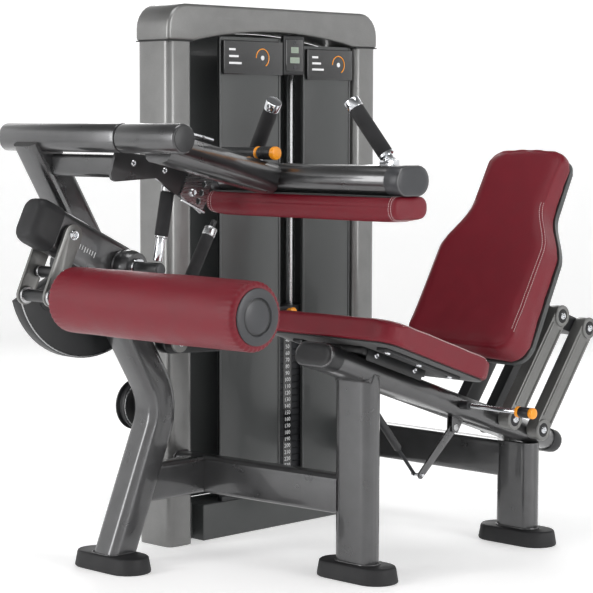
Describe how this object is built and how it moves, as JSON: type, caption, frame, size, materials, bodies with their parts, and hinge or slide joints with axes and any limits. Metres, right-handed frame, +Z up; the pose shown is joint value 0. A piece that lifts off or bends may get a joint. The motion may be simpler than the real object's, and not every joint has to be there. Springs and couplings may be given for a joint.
{
  "type": "seated leg curl machine",
  "caption": "Selectorized seated leg curl machine with a weight tower, an adjustable backrest, a thigh hold-down pad and an ankle roller on a swinging arm.",
  "frame": {"origin": "on the floor, at the middle of the front seat post's foot", "axes": "+X away from the weight tower, +Y from the ankle roller to the backrest, +Z up; X = 0 is the seat's middle plane"},
  "size_m": [1.114, 1.6878, 1.54],
  "materials": {
    "tower_paint": "satin metallic charcoal",
    "shroud_plastic": "satin dark grey",
    "chrome_steel": "polished",
    "plate_steel": "satin black",
    "orange_plastic": "orange",
    "black_plastic": "satin black",
    "black_rubber": "matt black",
    "frame_paint": "gloss metallic charcoal",
    "red_vinyl": "deep red vinyl with a fine grain",
    "grip_foam": "matt black foam",
    "cast_link": "satin dark grey"
  },
  "bodies": {
    "frame": {"tower_front_upright": "tower_paint", "tower_rear_upright": "tower_paint", "tower_cap": "tower_paint", "tower_base": "tower_paint", "front_shroud": "shroud_plastic", "rear_side_shroud": "shroud_plastic", "back_shroud": "shroud_plastic", "guide_rod_front": "chrome_steel", "guide_rod_rear": "chrome_steel", "weight_stack": "plate_steel", "display_unit": "black_plastic", "leg_foot": "black_rubber", "front_post_foot": "black_rubber", "rear_post_foot": "black_rubber", "seat_rail": "frame_paint", "front_post": "frame_paint", "rear_post": "frame_paint", "front_cross_tube": "frame_paint", "rear_cross_tube": "frame_paint", "corner_tube": "frame_paint", "front_leg": "frame_paint", "top_cross_tube": "frame_paint", "gusset_plate": "frame_paint", "locking_sector": "chrome_steel", "lever_housing": "black_plastic", "seat_pad": "red_vinyl", "seat_bracket": "black_plastic"},
    "lifted_plate": {"stack_top_plate": "plate_steel"},
    "pin": {"selector_pin": "orange_plastic"},
    "thigh_hold_down": {"thigh_arm": "frame_paint", "thigh_crossbar": "frame_paint", "thigh_pad": "red_vinyl", "upper_grip_far": "grip_foam", "upper_grip_near": "grip_foam"},
    "handle": {"pull_handle": "black_plastic"},
    "latch": {"release_latch": "chrome_steel"},
    "leg_arm": {"movement_arm": "frame_paint", "arm_end_cap": "black_rubber", "knee_axle": "chrome_steel", "belt_cam": "black_plastic", "assist_stub": "frame_paint", "assist_grip": "grip_foam"},
    "ankle_arm": {"ankle_plate_near": "frame_paint", "ankle_plate_far": "frame_paint", "ankle_spacer": "frame_paint", "roller_axle": "chrome_steel"},
    "roller": {"ankle_roller": "red_vinyl"},
    "pulley": {"belt_pulley": "black_plastic"},
    "lever": {"start_lever": "cast_link"},
    "button": {"lever_button": "black_plastic"},
    "front_links": {"front_link_near": "cast_link", "front_link_far": "cast_link"},
    "rear_links": {"rear_link_near": "cast_link", "rear_link_far": "cast_link"},
    "backrest": {"back_coupler": "black_plastic", "backrest_pad": "red_vinyl"},
    "knob": {"adjust_knob": "orange_plastic"},
    "gas_spring_lever": {"gas_lever": "frame_paint"},
    "gas_spring_cylinder": {"gas_cylinder": "black_plastic"},
    "gas_spring_rod": {"gas_rod": "chrome_steel"}
  },
  "joints": [
    {"name": "leg_arm_swing", "type": "hinge", "parent": "frame", "child": "leg_arm", "pos_m": [-0.425, -0.445, 0.83], "axis": [1, 0, 0], "range_deg": [0, 85]},
    {"name": "stack_lift", "type": "slide", "parent": "frame", "child": "lifted_plate", "axis": [0, 0, 1], "range_m": [0, 0.38]},
    {"name": "pin_pull", "type": "slide", "parent": "lifted_plate", "child": "pin", "axis": [1, 0, 0], "range_m": [0, 0.06]},
    {"name": "pulley_spin", "type": "hinge", "parent": "frame", "child": "pulley", "pos_m": [-0.658, -0.205, 0.424], "axis": [1, 0, 0], "range_deg": [-310, 0]},
    {"name": "ankle_setting", "type": "hinge", "parent": "leg_arm", "child": "ankle_arm", "pos_m": [-0.425, -0.627, 0.921], "axis": [-1, 0, 0], "range_deg": [0, 35]},
    {"name": "roller_spin", "type": "hinge", "parent": "ankle_arm", "child": "roller", "pos_m": [0, -0.7, 0.767], "axis": [1, 0, 0], "continuous": true},
    {"name": "thigh_lift", "type": "hinge", "parent": "frame", "child": "thigh_hold_down", "pos_m": [-0.106, -0.624, 1.168], "axis": [1, 0, 0], "range_deg": [-10, 25]},
    {"name": "handle_pull", "type": "slide", "parent": "thigh_hold_down", "child": "handle", "axis": [1, 0, 0], "range_m": [0, 0.012], "stiffness_N_per_m": 600},
    {"name": "latch_lift", "type": "hinge", "parent": "thigh_hold_down", "child": "latch", "pos_m": [-0.106, -0.51474, 1.18153], "axis": [1, 0, 0], "range_deg": [0, 20], "stiffness_Nm_per_rad": 0.3},
    {"name": "lever_swing", "type": "hinge", "parent": "frame", "child": "lever", "pos_m": [-0.47, -0.216, 0.612], "axis": [1, 0, 0], "range_deg": [-10, 20]},
    {"name": "button_press", "type": "slide", "parent": "lever", "child": "button", "axis": [0, -0.5075, -0.8616], "range_m": [0, 0.005], "stiffness_N_per_m": 400},
    {"name": "front_link_swing", "type": "hinge", "parent": "frame", "child": "front_links", "pos_m": [0, 0.5327, 0.3831], "axis": [1, 0, 0], "range_deg": [0, 24]},
    {"name": "rear_link_swing", "type": "hinge", "parent": "frame", "child": "rear_links", "pos_m": [0, 0.66201, 0.33908], "axis": [1, 0, 0], "range_deg": [0, 24]},
    {"name": "backrest_level", "type": "hinge", "parent": "front_links", "child": "backrest", "pos_m": [0, 0.74551, 0.65845], "axis": [1, 0, 0], "range_deg": [-24, 0]},
    {"name": "knob_pull", "type": "slide", "parent": "frame", "child": "knob", "axis": [1, 0, 0], "range_m": [0, 0.015], "stiffness_N_per_m": 600},
    {"name": "gas_lever_swing", "type": "hinge", "parent": "frame", "child": "gas_spring_lever", "pos_m": [0, 0.36754, 0.36961], "axis": [1, 0, 0], "range_deg": [0, 12]},
    {"name": "gas_cylinder_swing", "type": "hinge", "parent": "frame", "child": "gas_spring_cylinder", "pos_m": [0, 0.062, 0.444], "axis": [1, 0, 0], "range_deg": [0, 0.76]},
    {"name": "gas_rod_slide", "type": "slide", "parent": "gas_spring_cylinder", "child": "gas_spring_rod", "axis": [0, 0.6555, -0.7552], "range_m": [0, 0.0398]}
  ],
  "couplings": [
    {"joint": "stack_lift", "follows": "leg_arm_swing", "m_per_rad": 0.25},
    {"joint": "pulley_spin", "follows": "leg_arm_swing", "ratio": -3.6},
    {"joint": "rear_link_swing", "follows": "front_link_swing", "ratio": 1},
    {"joint": "backrest_level", "follows": "front_link_swing", "ratio": -1},
    {"joint": "gas_lever_swing", "follows": "front_link_swing", "ratio": 0.5},
    {"joint": "gas_cylinder_swing", "follows": "front_link_swing", "ratio": 0.02997},
    {"joint": "gas_rod_slide", "follows": "front_link_swing", "m_per_rad": 0.09046}
  ]
}
